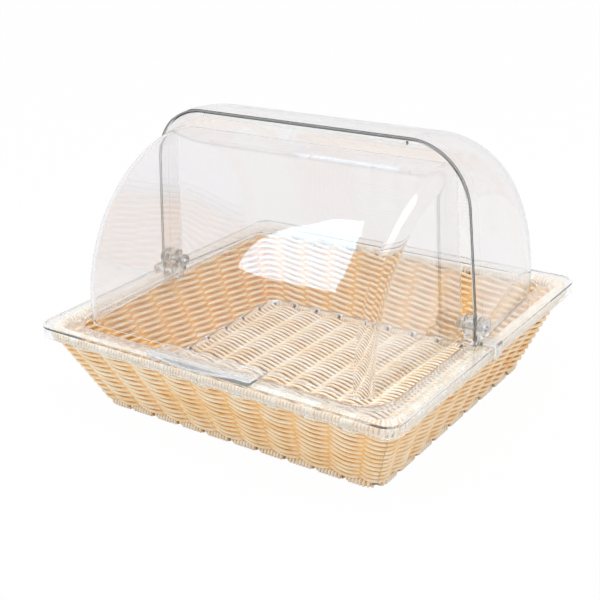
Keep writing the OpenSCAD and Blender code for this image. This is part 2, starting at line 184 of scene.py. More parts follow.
def seen_directly(tree: bpy.types.NodeTree) -> bpy.types.NodeSocket:
    """Tell rays that show a surface to the eye from rays that light something.

    Args:
        tree: Node tree of the world or of a backdrop.

    Returns:
        A socket that is 1 for camera, glossy and transmission rays, and 0 for others.
    """
    rays = add_node(tree, "ShaderNodeLightPath")
    seen: bpy.types.NodeSocket = rays.outputs["Is Camera Ray"]
    for kind in ("Is Glossy Ray", "Is Transmission Ray"):
        seen = add_node(
            tree,
            "ShaderNodeMath",
            settings={"operation": "MAXIMUM"},
            values={0: seen, 1: rays.outputs[kind]},
        ).outputs[0]
    return seen


def quarter_turned(spot: Plan, quarters: int) -> Plan:
    """Turn a place or direction in plan by quarters of a turn, anticlockwise.

    Args:
        spot: The place, measured from the middle of the turn.
        quarters: Number of quarters.

    Returns:
        The turned place.
    """
    x, y = spot
    for _ in range(quarters):
        x, y = -y, x
    return x, y


@dataclass(frozen=True)
class StrandPoint:
    """A point on a woven strand's centre line, and how it lies to the stakes."""

    at: Point
    normal: Point
    out: float
    nearness: float


def paint_shade_in_recesses(
    piece: bpy.types.Object, paths: Sequence[Sequence[StrandPoint]], open_at: float
) -> None:
    """Store a painted-shade weight for each vertex of woven strands, by how far it lies in
    between its neighbours.

    Args:
        piece: Mesh made by strands() from the same points.
        paths: The strands' points.
        open_at: Distance from the middle surface at which nothing is shaded any more.
    """
    laid = [point for path in paths for point in path]
    tree = KDTree(len(laid))
    for index, point in enumerate(laid):
        tree.insert(point.at, index)
    tree.balance()
    depths: list[float] = []
    for vertex in piece.data.vertices:
        spot = vertex.co / MM
        _, index, _ = tree.find(spot)
        point = laid[index]
        away = (spot - Vector(point.at)).dot(Vector(point.normal))
        depth = (open_at - abs(point.out + away)) / (PAINTED_SHADE_FADE * open_at)
        depths.append(min(max(depth, 0.0), 1.0) * point.nearness)
    layer = piece.data.attributes.new(PAINTED_SHADE_ATTRIBUTE, "FLOAT", "POINT")
    layer.data.foreach_set("value", depths)


def poly_lines(
    name: str, paths: Iterable[Sequence[Point]], closed: bool = False
) -> bpy.types.Object:
    """Lay straight-sided lines in one curve object and pick it.

    Args:
        name: Name of the object.
        paths: The lines' points in millimetres.
        closed: Whether each line joins its own start.

    Returns:
        The curve object.
    """
    curve = bpy.data.curves.new(name, "CURVE")
    curve.dimensions = "3D"
    for path in paths:
        spline = curve.splines.new("POLY")
        spline.points.add(len(path) - 1)
        flat: list[float] = []
        for x, y, z in path:
            flat += [x * MM, y * MM, z * MM, 1.0]
        spline.points.foreach_set("co", flat)
        spline.use_cyclic_u = closed
        spline.use_smooth = True
    lines = bpy.data.objects.new(name, curve)
    bpy.context.scene.collection.objects.link(lines)
    pick(lines)
    return lines


def strands(
    name: str,
    paths: Iterable[Sequence[Point]],
    radius: float,
    sides: int = 8,
    closed: bool = False,
) -> bpy.types.Object:
    """Model strands or bent wires as bevelled curves and turn them into one mesh.

    Args:
        name: Name of the piece.
        paths: Centre lines in millimetres.
        radius: Radius of the strand in millimetres.
        sides: Faces round the strand, an even number from 4.
        closed: Whether each path joins its own start.

    Returns:
        The finished mesh object at the origin.
    """
    curve = poly_lines(name, paths, closed).data
    curve.bevel_depth = radius * MM
    curve.bevel_resolution = (sides - 4) // 2
    curve.use_fill_caps = not closed
    bpy.ops.object.convert(target="MESH")
    piece = bpy.context.view_layer.objects.active
    piece.name = name
    deselect()
    return piece


def revolved(name: str, outline: Sequence[Plan], axis: Plan, steps: int) -> bpy.types.Object:
    """Spin an outline a whole turn about a line along X.

    Args:
        name: Name of the solid.
        outline: Distance from the line and place along it; both ends lie on the line.
        axis: Y and Z of the line.
        steps: Number of steps in the turn.

    Returns:
        A closed solid with its poles merged.
    """
    axis_y, axis_z = axis
    poly_lines(name, [[(x, axis_y, axis_z + radius) for radius, x in outline]])
    bpy.ops.object.convert(target="MESH")
    solid = bpy.context.view_layer.objects.active
    bpy.ops.object.mode_set(mode="EDIT")
    bpy.ops.mesh.select_all(action="SELECT")
    bpy.ops.mesh.spin(
        steps=steps,
        angle=2 * math.pi,
        center=(0.0, axis_y * MM, axis_z * MM),
        axis=(1.0, 0.0, 0.0),
    )
    bpy.ops.mesh.select_all(action="SELECT")
    bpy.ops.mesh.remove_doubles(threshold=0.001 * MM)
    bpy.ops.mesh.normals_make_consistent(inside=False)
    bpy.ops.object.mode_set(mode="OBJECT")
    return solid


def block(name: str, low: Point, high: Point) -> bpy.types.Object:
    """Make a box to join to a piece or to cut it with.

    Args:
        name: Name of the box.
        low: Its lowest corner in millimetres.
        high: Its highest corner.

    Returns:
        The box.
    """
    bpy.ops.mesh.primitive_cube_add(size=1.0)
    box = bpy.context.object
    box.name = name
    for vertex in box.data.vertices:
        vertex.co = [
            (lo if c < 0 else hi) * MM for c, lo, hi in zip(vertex.co, low, high, strict=True)
        ]
    return box


def barrel(name: str, start: float, end: float, axis: Plan, radius: float) -> bpy.types.Object:
    """Make a round bar along X to join to a piece or to cut it with.

    Args:
        name: Name of the bar.
        start: X of one end in millimetres.
        end: X of the other end.
        axis: Y and Z of its middle line.
        radius: Its radius.

    Returns:
        The bar.
    """
    bpy.ops.mesh.primitive_cylinder_add(
        vertices=64,
        radius=radius * MM,
        depth=abs(end - start) * MM,
        location=((start + end) / 2 * MM, axis[0] * MM, axis[1] * MM),
        rotation=(0.0, math.pi / 2, 0.0),
    )
    bar = bpy.context.object
    bar.name = name
    bpy.ops.object.transform_apply(location=True, rotation=True, scale=True)
    return bar


def combine(piece: bpy.types.Object, tool: bpy.types.Object, operation: str) -> None:
    """Join, cut or intersect a piece with a tool, which is then removed.

    Args:
        piece: The piece that is changed.
        tool: The solid it is changed with.
        operation: UNION, DIFFERENCE or INTERSECT.
    """
    pick(piece)
    step = piece.modifiers.new(operation.lower(), "BOOLEAN")
    step.operation = operation
    step.solver = "EXACT"
    step.object = tool
    bpy.ops.object.modifier_apply(modifier=step.name)
    bpy.data.objects.remove(tool)


def place(piece: bpy.types.Object, body: Body, replaced: str | None = None) -> None:
    """Tell the frame what a new piece rides on and what it stands for.

    Args:
        piece: The new piece.
        body: The rigid body that it rides on.
        replaced: The solid that it is shown instead of, if any.
    """
    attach(piece, body.value)
    if replaced:
        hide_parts(replaced)
    LOG.info("%s: %d faces, rides on %s", piece.name, len(piece.data.polygons), body.value)


def woven_panel(
    name: str,
    paths: Sequence[Sequence[StrandPoint]],
    radius: float,
    open_at: float,
    finish: bpy.types.Material,
    replaced: str,
) -> None:
    """Model, dress and place one woven panel, with painted shade marked in its recesses.

    Args:
        name: Name of the piece.
        paths: The strands' points.
        radius: Radius of the strand in millimetres.
        open_at: Distance from the middle surface at which nothing is shaded any more.
        finish: Finish of the strands.
        replaced: The solid that the panel is shown instead of.
    """
    centres = [[point.at for point in path] for path in paths]
    piece = strands(name, centres, radius)
    paint_shade_in_recesses(piece, paths, open_at)
    dress(piece, finish)
    place(piece, Body.BIN, replaced)


# ---------------------------------------------------------------- finishes


@dataclass(frozen=True)
class ClearPolycarbonate:
    """Injection-moulded clear polycarbonate: glossy, faintly grey, with dark cut edges.

    The sheet swallows little light across its thickness and much along it, which gives
    the eye pale walls with dark grey-olive edges. A slow ripple stands for the flow marks.
    The outer faces of the side walls carry the "flank" attribute: they mirror more of the
    white room, which gives the eye a milky veil there.
    """

    name: str = "clear_moulded_polycarbonate"
    roughness: float = 0.015
    ripple_mm: float = 38.0
    ripple_depth_mm: float = 0.02
    ripple_strength: float = 0.35
    haze_mm: float = 9.0
    haze_spread: Plan = (0.6, 1.6)
    pass_hex: str = "F9F8F9"
    ior: float = 1.585
    clear_share: float = 0.984
    coat: float = 0.0
    veiled_flanks: bool = False
    coat_ior: float = 1.95
    coat_roughness: float = 0.03
    shadow_hex: str = "FEFEFE"
    swallow_per_m: float = 3.0
    swallow_hex: str = "15180C"

    def build(self) -> bpy.types.Material:
        """Make the material; its shadow rays pass straight through.

        Returns:
            The material.
        """
        material, output = new_material(self.name)
        tree = material.node_tree
        place_on = add_node(tree, "ShaderNodeTexCoord").outputs["Object"]
        flow = add_node(
            tree,
            "ShaderNodeTexNoise",
            values={"Vector": place_on, "Scale": 1 / (self.ripple_mm * MM), "Detail": 1.0},
        )
        bump = add_node(
            tree,
            "ShaderNodeBump",
            values={
                "Height": flow.outputs["Fac"],
                "Strength": self.ripple_strength,
                "Distance": self.ripple_depth_mm * MM,
            },
        )
        haze = add_node(
            tree,
            "ShaderNodeTexNoise",
            values={"Vector": place_on, "Scale": 1 / (self.haze_mm * MM), "Detail": 3.0},
        )
        gloss = add_node(
            tree,
            "ShaderNodeMapRange",
            values={
                "Value": haze.outputs["Fac"],
                "To Min": self.roughness * self.haze_spread[0],
                "To Max": self.roughness * self.haze_spread[1],
            },
        )
        clear = add_node(
            tree,
            "ShaderNodeBsdfPrincipled",
            values={
                "Base Color": linear(self.pass_hex),
                "Roughness": gloss.outputs["Result"],
                "IOR": self.ior,
                "Transmission Weight": self.clear_share,
                "Coat Weight": self.coat,
                "Coat IOR": self.coat_ior,
                "Coat Roughness": self.coat_roughness,
                "Normal": bump.outputs["Normal"],
            },
        )
        if self.veiled_flanks:
            flank = add_node(
                tree, "ShaderNodeAttribute", settings={"attribute_name": FLANK_ATTRIBUTE}
            )
            tree.links.new(flank.outputs["Fac"], clear.inputs["Coat Weight"])
        rays = add_node(tree, "ShaderNodeLightPath")
        through = add_node(
            tree, "ShaderNodeBsdfTransparent", values={"Color": linear(self.shadow_hex)}
        )
        mixed = add_node(
            tree,
            "ShaderNodeMixShader",
            values={
                0: rays.outputs["Is Shadow Ray"],
                1: clear.outputs["BSDF"],
                2: through.outputs["BSDF"],
            },
        )
        swallow = add_node(
            tree,
            "ShaderNodeVolumeAbsorption",
            values={"Color": linear(self.swallow_hex), "Density": self.swallow_per_m},
        )
        tree.links.new(mixed.outputs["Shader"], output.inputs["Surface"])
        tree.links.new(swallow.outputs["Volume"], output.inputs["Volume"])
        return material


class Grain(Enum):
    """Which way the streaks of a strand run on a piece."""

    ALONG_X = (0.12, 1.0, 1.0)
    ALONG_Y = (1.0, 0.12, 1.0)
    EVEN = (1.0, 1.0, 1.0)


@dataclass(frozen=True)
class ExtrudedStrand:
    """Extruded polypropylene strand in a natural cane colour, satin from the die.

    Gives the eye cream strands with darker tan streaks along them and a soft sheen. Where a shade
    colour is given, it is painted into the strands where they lie between their neighbours:
    painted shade.
    """

    name: str
    pale_hex: str
    mid_hex: str
    dark_hex: str
    grain: Grain
    painted_shade_hex: str | None = None
    streak_mm: float = 2.6
    batch_mm: float = 16.0
    batch_share: float = 0.35
    tone_stops: Point = (0.26, 0.42, 0.60)
    ridge_mm: float = 0.12
    ridge_strength: float = 0.4
    roughness: float = 0.42
    ior: float = 1.49

    def build(self) -> bpy.types.Material:
        """Make the material.

        Returns:
            The material.
        """
        material, output = new_material(self.name)
        tree = material.node_tree
        place_on = add_node(tree, "ShaderNodeTexCoord").outputs["Object"]
        stretched = add_node(
            tree,
            "ShaderNodeMapping",
            values={"Vector": place_on, "Scale": self.grain.value},
        ).outputs["Vector"]
        streaks = add_node(
            tree,
            "ShaderNodeTexNoise",
            values={"Vector": stretched, "Scale": 1 / (self.streak_mm * MM), "Detail": 3.0},
        )
        batches = add_node(
            tree,
            "ShaderNodeTexNoise",
            values={"Vector": stretched, "Scale": 1 / (self.batch_mm * MM), "Detail": 1.0},
        )
        blend = add_node(
            tree,
            "ShaderNodeMix",
            settings={"data_type": "FLOAT"},
            values={
                0: self.batch_share,
                2: streaks.outputs["Fac"],
                3: batches.outputs["Fac"],
            },
        )
        ramp = add_node(tree, "ShaderNodeValToRGB", values={"Fac": blend.outputs[0]})
        stops = ramp.color_ramp.elements
        dark_at, mid_at, pale_at = self.tone_stops
        stops[0].position = dark_at
        stops[0].color = linear(self.dark_hex)
        stops[1].position = pale_at
        stops[1].color = linear(self.pale_hex)
        stops.new(mid_at).color = linear(self.mid_hex)
        colour = ramp.outputs["Color"]
        # Painted shade: an orange shade colour is mixed in by the stored weight, where strands
        # lie between their neighbours.
        if self.painted_shade_hex:
            painted_shade_mask = add_node(
                tree, "ShaderNodeAttribute", settings={"attribute_name": PAINTED_SHADE_ATTRIBUTE}
            )
            colour = add_node(
                tree,
                "ShaderNodeMix",
                settings={"data_type": "RGBA"},
                values={0: painted_shade_mask.outputs["Fac"], 6: colour, 7: linear(self.painted_shade_hex)},
            ).outputs[2]
        bump = add_node(
            tree,
            "ShaderNodeBump",
            values={
                "Height": streaks.outputs["Fac"],
                "Strength": self.ridge_strength,
                "Distance": self.ridge_mm * MM,
            },
        )
        strand = add_node(
            tree,
            "ShaderNodeBsdfPrincipled",
            values={
                "Base Color": colour,
                "Roughness": self.roughness,
                "IOR": self.ior,
                "Normal": bump.outputs["Normal"],
            },
        )
        tree.links.new(strand.outputs["BSDF"], output.inputs["Surface"])
        return material


@dataclass(frozen=True)
class DrawnWire:
    """Drawn steel wire: fine marks along it and a dull shine; the tan version stands partly for a
    coating and partly for the orange shade between the strands, as painted shade.
    """

    name: str
    base_hex: str
    metallic: float
    roughness: float
    spot_mm: float = 1.5
    spot_depth_mm: float = 0.03
    spot_strength: float = 0.3
    roughness_spread: Plan = (0.75, 1.25)
    dark_share: float = 0.7

    def build(self) -> bpy.types.Material:
        """Make the material.

        Returns:
            The material.
        """
        material, output = new_material(self.name)
        tree = material.node_tree
        place_on = add_node(tree, "ShaderNodeTexCoord").outputs["Object"]
        spots = add_node(
            tree,
            "ShaderNodeTexNoise",
            values={"Vector": place_on, "Scale": 1 / (self.spot_mm * MM), "Detail": 4.0},
        )
        shade = add_node(
            tree,
            "ShaderNodeMapRange",
            values={
                "Value": spots.outputs["Fac"],
                "To Min": self.roughness * self.roughness_spread[0],
                "To Max": self.roughness * self.roughness_spread[1],
            },
        )
        ramp = add_node(tree, "ShaderNodeValToRGB", values={"Fac": spots.outputs["Fac"]})
        full = linear(self.base_hex)
        dark = tuple(self.dark_share * c for c in full[:3]) + (1.0,)
        ramp.color_ramp.elements[0].color = dark
        ramp.color_ramp.elements[1].color = full
        bump = add_node(
            tree,
            "ShaderNodeBump",
            values={
                "Height": spots.outputs["Fac"],
                "Strength": self.spot_strength,
                "Distance": self.spot_depth_mm * MM,
            },
        )
        wire = add_node(
            tree,
            "ShaderNodeBsdfPrincipled",
            values={
                "Base Color": ramp.outputs["Color"],
                "Metallic": self.metallic,
                "Roughness": shade.outputs["Result"],
                "Normal": bump.outputs["Normal"],
            },
        )
        tree.links.new(wire.outputs["BSDF"], output.inputs["Surface"])
        return material


# ---------------------------------------------------------------- basket


@dataclass(frozen=True)
class BasketForm:
    """Where the basket's rings, stakes and floor lie."""

    rim_half: Plan = (168.9, 154.4)
    foot_half: Plan = (138.9, 124.4)
    rim_z: float = 73.5
    foot_z: float = 4.0
    rim_corner: float = 16.0
    foot_corner: float = 12.0
    rim_r: float = 5.0
    foot_r: float = 4.5
    centre_y: float = 5.75
    long_stakes: int = 9
    short_stakes: int = 8

    @property
    def lean(self) -> float:
        """Lean of the walls from the vertical, in radians."""
        return math.atan2(self.rim_half[0] - self.foot_half[0], self.rim_z - self.foot_z)

    @property
    def slope(self) -> float:
        """Length of the walls along their slope, from ring to ring."""
        return (self.rim_z - self.foot_z) / math.cos(self.lean)

    def stakes(self, wall: int) -> int:
        """Number of uprights in a wall; 0 front, 1 right, 2 back, 3 left."""
        return self.long_stakes if wall % 2 == 0 else self.short_stakes

    def loop_place(self, wall: int, stake: float, share: float) -> tuple[Plan, Plan]:
        """Find a place on the rounded rectangle at some height of the walls.

        Args:
            wall: Number of the wall.
            stake: Place along the wall: 0 and the last number are the corner posts,
                whole numbers between them the uprights.
            share: Height as a share of the slope, 0 at the foot and 1 at the rim.

        Returns:
            The place in plan and the outward direction there.
        """
        half_x = self.foot_half[0] + share * (self.rim_half[0] - self.foot_half[0])
        half_y = self.foot_half[1] + share * (self.rim_half[1] - self.foot_half[1])
        corner = self.foot_corner + share * (self.rim_corner - self.foot_corner)
        along, across = (half_x, half_y) if wall % 2 == 0 else (half_y, half_x)
        count = self.stakes(wall) + 1
        quarter = math.pi / 4 * corner
        straight = 2 * (along - corner)

        def arc_of(number: int) -> float:
            """Measure how far along the wall a stake stands.

            Args:
                number: Whole number of the stake.

            Returns:
                Its distance from the left corner post.
            """
            if number <= 0:
                return 0.0
            if number >= count:
                return 2 * quarter + straight
            return quarter + (2 * number / count - 1) * along + along - corner

        low = min(max(math.floor(stake), 0), count - 1)
        arc = arc_of(low) + (stake - low) * (arc_of(low + 1) - arc_of(low))
        if arc < quarter:
            turn = -math.pi / 4 + arc / corner
            middle = corner - along
        elif arc > quarter + straight:
            turn = (arc - quarter - straight) / corner
            middle = along - corner
        else:
            turn = 0.0
            middle = corner - along + arc - quarter
        spot = (middle + corner * math.sin(turn), corner - across - corner * math.cos(turn))
        outward = (math.sin(turn), -math.cos(turn))
        return quarter_turned(spot, wall), quarter_turned(outward, wall)

    def on_wall(self, wall: int, stake: float, up: float, out: float) -> Point:
        """Find a point on or beside a wall's middle surface.

        Args:
            wall: Number of the wall.
            stake: Place along the wall, in stakes.
            up: Distance from the foot ring's centre line along the slope.
            out: Distance from the middle surface, outwards.

        Returns:
            The point, in millimetres.
        """
        (x, y), (out_x, out_y) = self.loop_place(wall, stake, up / self.slope)
        flat = out * math.cos(self.lean)
        z = self.foot_z + up * math.cos(self.lean) - out * math.sin(self.lean)
        return x + flat * out_x, y + flat * out_y + self.centre_y, z

    def ring(self, half: Plan, corner: float, z: float, around: float) -> tuple[Point, Plan]:
        """Find a point on a ring's centre line.

        Args:
            half: Half length and half depth of the ring.
            corner: Corner radius.
            z: Height.
            around: Distance along the ring, anticlockwise from the front wall's left end.

        Returns:
            The point and the outward direction in plan.
        """
        arc = math.pi / 2 * corner
        rest = around
        for wall in range(4):
            along, across = half if wall % 2 == 0 else (half[1], half[0])
            run = 2 * (along - corner)
            if rest <= run + arc or wall == 3:
                turn = max(rest - run, 0.0) / corner
                x = -along + corner + min(rest, run) + corner * math.sin(turn)
                y = -across + corner - corner * math.cos(turn)
                x, y = quarter_turned((x, y), wall)
                outward = quarter_turned((math.sin(turn), -math.cos(turn)), wall)
                return (x, y + self.centre_y, z), outward
            rest -= run + arc
        raise ValueError("the distance lies beyond the ring")

    def ring_length(self, half: Plan, corner: float) -> float:
        """Length of a ring along its centre line."""
        return 4 * (half[0] + half[1] - 2 * corner) + 2 * math.pi * corner

    def stake_marks(self, half: Plan, corner: float) -> list[float]:
        """Distances along a ring at which stakes meet it, corner posts included.

        Args:
            half: Half length and half depth of the ring.
            corner: Corner radius.

        Returns:
            The distances, in the sense of ring().
        """
        marks: list[float] = []
        start = 0.0
        for wall in range(4):
            along = half[wall % 2]
            count = self.stakes(wall) + 1
            for number in range(1, count):
                marks.append(start + (2 * number / count - 1) * along + along - corner)
            start += 2 * (along - corner)
            marks.append(start + math.pi / 4 * corner)
            start += math.pi / 2 * corner
        return marks


@dataclass
class WovenWalls:
    """The four walls: pairs of strands twined round the stakes, row above row."""

    form: BasketForm
    rows: int = 12
    first_row: float = 7.4
    last_row: float = 70.6
    strand_r: float = 1.74
    bulge: float = 3.35
    spread: float = 1.5
    top_spread: float = 2.3
    steps: int = 8
    shade_sheet_t: float = 3.6
    shade_sheet_edge: float = 5.2
    shade_sheet_steps: int = 4
    slack: float = 0.35
    swell: Plan = (0.93, 1.05)
    shade_past: float = 0.4
    first_seed: int = 40
    names: tuple[str, ...] = ("front", "right", "back", "left")

    def row_height(self, row: int) -> float:
        """Height of a row along the slope."""
        return self.first_row + row * (self.last_row - self.first_row) / (self.rows - 1)

    def strand_path(
        self, wall: int, row: int, second: bool, dice: random.Random
    ) -> list[StrandPoint]:
        """Lay one strand of a pair along one wall.

        Args:
            wall: Number of the wall.
            row: Number of the row from the foot.
            second: Whether this is the strand that starts inside.
            dice: Seeded source of the small unevenness of handwork.

        Returns:
            Points of the strand's centre line.
        """
        count = self.form.stakes(wall) + 1
        before = sum(self.form.stakes(w) + 1 for w in range(wall))
        height = self.row_height(row)
        spread = self.top_spread if row == self.rows - 1 else self.spread
        slack = [dice.uniform(-self.slack, self.slack) for _ in range(count - 1)]
        slack = [0.0, *slack, 0.0]
        swell = [1.0, *(dice.uniform(*self.swell) for _ in range(count - 1)), 1.0]
        lean = self.form.lean
        path: list[StrandPoint] = []
        for step in range(count * self.steps + 1):
            stake = step / self.steps
            low = min(int(stake), count - 1)
            part = stake - low
            phase = math.pi * (before + stake + int(second))
            ease = slack[low] * (1 - part) + slack[low + 1] * part
            size = swell[low] * (1 - part) + swell[low + 1] * part
            out = self.bulge * size * math.cos(phase)
            up = height + ease - spread * math.sin(phase)
            _, (x, y) = self.form.loop_place(wall, stake, up / self.form.slope)
            normal = (x * math.cos(lean), y * math.cos(lean), -math.sin(lean))
            at = self.form.on_wall(wall, stake, up, out)
            path.append(StrandPoint(at, normal, out, math.cos(phase) ** 2))
        return path

    def painted_shade_core(self) -> bpy.types.Object:
        """Model a thin sheet in each wall's middle, coloured as painted shade, which stops the
        eye between the rows.

        Returns:
            One piece with a thin panel in each wall.
        """
        low, high = self.shade_sheet_edge, self.form.slope - self.shade_sheet_edge
        panels: list[bpy.types.Object] = []
        for wall, name in enumerate(self.names):
            count = self.form.stakes(wall) + 1
            columns = count * self.shade_sheet_steps
            bpy.ops.mesh.primitive_grid_add(x_subdivisions=columns, y_subdivisions=1, size=2.0)
            panel = bpy.context.object
            panel.name = f"woven_core_{name}"
            for vertex in panel.data.vertices:
                stake = (vertex.co.x + 1) / 2 * count
                up = low if vertex.co.y < 0 else high
                vertex.co = Vector(self.form.on_wall(wall, stake, up, 0.0)) * MM
            panels.append(panel)
        deselect()
        for panel in panels:
            panel.select_set(True)
        painted_shade_core = panels[0]
        bpy.context.view_layer.objects.active = painted_shade_core
        bpy.ops.object.join()
        thick = painted_shade_core.modifiers.new("solid", "SOLIDIFY")
        thick.thickness = self.shade_sheet_t * MM
        thick.offset = 0.0
        bpy.ops.object.modifier_apply(modifier=thick.name)
        painted_shade_core.name = "woven_core"
        return painted_shade_core

    def build(
        self, finishes: Sequence[bpy.types.Material], shaded: bpy.types.Material
    ) -> None:
        """Model, dress and place the four walls.

        Args:
            finishes: Finish of the long walls and finish of the short ones.
            shaded: Finish of the painted-shade sheet that shows between the strands.
        """
        # Painted shade: a sheet in each wall, coloured as the shade between the strands.
        painted_shade_core = self.painted_shade_core()
        dress(painted_shade_core, shaded)
        place(painted_shade_core, Body.BIN)
        for wall, name in enumerate(self.names):
            dice = random.Random(self.first_seed + wall)
            paths = [
                self.strand_path(wall, row, second, dice)
                for row in range(self.rows)
                for second in (False, True)
            ]
            woven_panel(
                f"woven_wall_{name}", paths, self.strand_r, self.bulge + self.shade_past,
                finishes[wall % 2], f"wall_weave_{name}",
            )


@dataclass
class WovenFloor:
    """The floor: pairs of strands along X, twined round the ribs."""

    form: BasketForm
    rib_z: float = 5.5
    pitch: float = 5.65
    strand_r: float = 1.5
    bulge: float = 2.75
    spread: float = 1.4
    edge_gap: float = 5.4
    steps: int = 8
    drift: float = 0.25
    shade_past: float = 0.3
    seed: int = 7

    def strand_path(self, y: float, flip: int, dice: random.Random) -> list[StrandPoint]:
        """Lay one strand across the floor.

        Args:
            y: Middle line of the pair, measured from the floor's middle.
            flip: 0 or 1, which strand of the pair it is.
            dice: Seeded source of unevenness.

        Returns:
            Points of the strand's centre line.
        """
        bay = 2 * self.form.foot_half[0] / (self.form.long_stakes + 1)
        corner = self.form.foot_corner - self.edge_gap
        reach = self.form.foot_half[0] - self.edge_gap
        inset = abs(y) - (self.form.foot_half[1] - self.edge_gap - corner)
        if inset > 0:
            reach -= corner - math.sqrt(max(corner**2 - inset**2, 0.0))
        count = round(2 * reach / bay * self.steps)
        drift = dice.uniform(-self.drift, self.drift)
        path: list[StrandPoint] = []
        for step in range(count + 1):
            x = -reach + 2 * reach * step / count
            phase = math.pi * (x / bay + flip)
            out = self.bulge * math.cos(phase)
            side = y + drift - self.spread * math.sin(phase)
            at = (x, side + self.form.centre_y, self.rib_z + out)
            path.append(StrandPoint(at, (0.0, 0.0, 1.0), out, math.cos(phase) ** 2))
        return path

    def build(self, finish: bpy.types.Material) -> None:
        """Model, dress and place the floor.

        Args:
            finish: Finish of its strands.
        """
        dice = random.Random(self.seed)
        depth = self.form.foot_half[1] - self.edge_gap - self.strand_r - self.spread
        rows = int(depth / self.pitch)
        paths = [
            self.strand_path(row * self.pitch, flip, dice)
            for row in range(-rows, rows + 1)
            for flip in (0, 1)
        ]
        woven_panel(
            "woven_floor", paths, self.strand_r, self.bulge + self.shade_past, finish,
            "floor_weave",
        )


@dataclass
class BoundRing:
    """Strand wound round one of the two steel rings."""

    name: str
    form: BasketForm
    half: Plan
    corner: float
    z: float
    outer_r: float
    stake_gap: float
    replaced: str
    strand_r: float = 1.15
    pitch: float = 3.05
    floor_clear: float | None = None
    steps: int = 10

    def turn_path(self, start: float, turns: float) -> list[Point]:
        """Wind one length of strand round the ring.

        Args:
            start: Distance along the ring at which it starts.
            turns: Number of turns.

        Returns:
            The strand's centre line.
        """
        length = self.form.ring_length(self.half, self.corner)
        radius = self.outer_r - self.strand_r
        path: list[Point] = []
        for step in range(round(turns * self.steps) + 1):
            turn = step / self.steps
            around = (start + turn * self.pitch) % length
            (x, y, z), (out_x, out_y) = self.form.ring(self.half, self.corner, self.z, around)
            angle = 2 * math.pi * turn
            flat = radius * math.cos(angle)
            height = z + radius * math.sin(angle)
            if self.floor_clear is not None:
                height = max(height, self.floor_clear + self.strand_r)
            path.append((x + flat * out_x, y + flat * out_y, height))
        return path

    def lengths(self) -> list[tuple[float, float]]:
        """Split the ring at the stakes.

        Returns:
            Start and number of turns of each wound length.
        """
        whole = self.form.ring_length(self.half, self.corner)
        if self.stake_gap <= 0:
            return [(0.0, whole / self.pitch)]
        marks = self.form.stake_marks(self.half, self.corner)
        found: list[tuple[float, float]] = []
        for index, mark in enumerate(marks):
            following = marks[(index + 1) % len(marks)]
            room = (following - mark) % whole - self.stake_gap - 2 * self.strand_r
            found.append((mark + self.stake_gap / 2 + self.strand_r, room / self.pitch))
        return found

    def shade_core_path(self, start: float, turns: float) -> list[Point]:
        """Follow the ring's centre line under one wound length.

        Args:
            start: Distance along the ring at which it starts.
            turns: Number of turns of the strand over it.

        Returns:
            The line.
        """
        length = self.form.ring_length(self.half, self.corner)
        count = round(turns)
        path: list[Point] = []
        for step in range(count + 1):
            around = (start + step * turns * self.pitch / count) % length
            path.append(self.form.ring(self.half, self.corner, self.z, around)[0])
        return path

    def build(self, finish: bpy.types.Material, shaded: bpy.types.Material) -> None:
        """Model, dress and place the winding and a painted-shade tube that shows between its
        turns.

        Args:
            finish: Finish of the winding.
            shaded: Finish of the painted shade between its turns.
        """
        # Painted shade: a tube under the winding, coloured as the shade between its turns.
        inside = [self.shade_core_path(start, turns) for start, turns in self.lengths()]
        painted_shade_core = strands(f"{self.name}_core", inside, self.outer_r - self.strand_r)
        dress(painted_shade_core, shaded)
        place(painted_shade_core, Body.BIN)
        paths = [self.turn_path(start, turns) for start, turns in self.lengths()]
        piece = strands(self.name, paths, self.strand_r)
        dress(piece, finish)
        place(piece, Body.BIN, self.replaced)


@dataclass
class RimLashings:
    """Three short loops under the rim at each stake, which tie the top row to the rim."""

    form: BasketForm
    strand_r: float = 1.25
    offsets: tuple[float, ...] = (-3.3, 0.0, 3.3)
    reach: float = 8.8
    hang_out: float = 2.4
    side_inset: float = 0.4
    top_inset: float = 1.6
    loop_steps: int = 16
    wander: float = 0.3
    uneven: Plan = (-1.0, 0.6)
    seed: int = 3

    def loop_path(self, around: float, reach: float) -> list[Point]:
        """Bend one loop round the rim and the top row.

        Args:
            around: Distance along the rim.
            reach: How far the loop comes down below the rim's middle.

        Returns:
            Points of the closed loop.
        """
        form = self.form
        length = form.ring_length(form.rim_half, form.rim_corner)
        (x, y, z), (out_x, out_y) = form.ring(
            form.rim_half, form.rim_corner, form.rim_z, around % length
        )
        wide = form.rim_r - self.side_inset
        points: list[Point] = []
        for step in range(self.loop_steps):
            angle = 2 * math.pi * step / self.loop_steps
            tall = form.rim_r - self.top_inset if math.sin(angle) > 0 else reach
            flat = wide * math.cos(angle) + self.hang_out * max(0.0, -math.sin(angle))
            height = tall * math.sin(angle)
            lean = math.tan(form.lean) * min(height, 0.0)
            points.append((x + (flat + lean) * out_x, y + (flat + lean) * out_y, z + height))
        return points

    def build(self, finish: bpy.types.Material) -> None:
        """Model, dress and place the loops.

        Args:
            finish: Finish of the loops.
        """
        dice = random.Random(self.seed)
        form = self.form
        paths: list[list[Point]] = []
        for mark in form.stake_marks(form.rim_half, form.rim_corner):
            for offset in self.offsets:
                around = mark + offset + dice.uniform(-self.wander, self.wander)
                paths.append(self.loop_path(around, self.reach + dice.uniform(*self.uneven)))
        piece = strands("rim_lashings", paths, self.strand_r, sides=6, closed=True)
        dress(piece, finish)
        place(piece, Body.BIN)


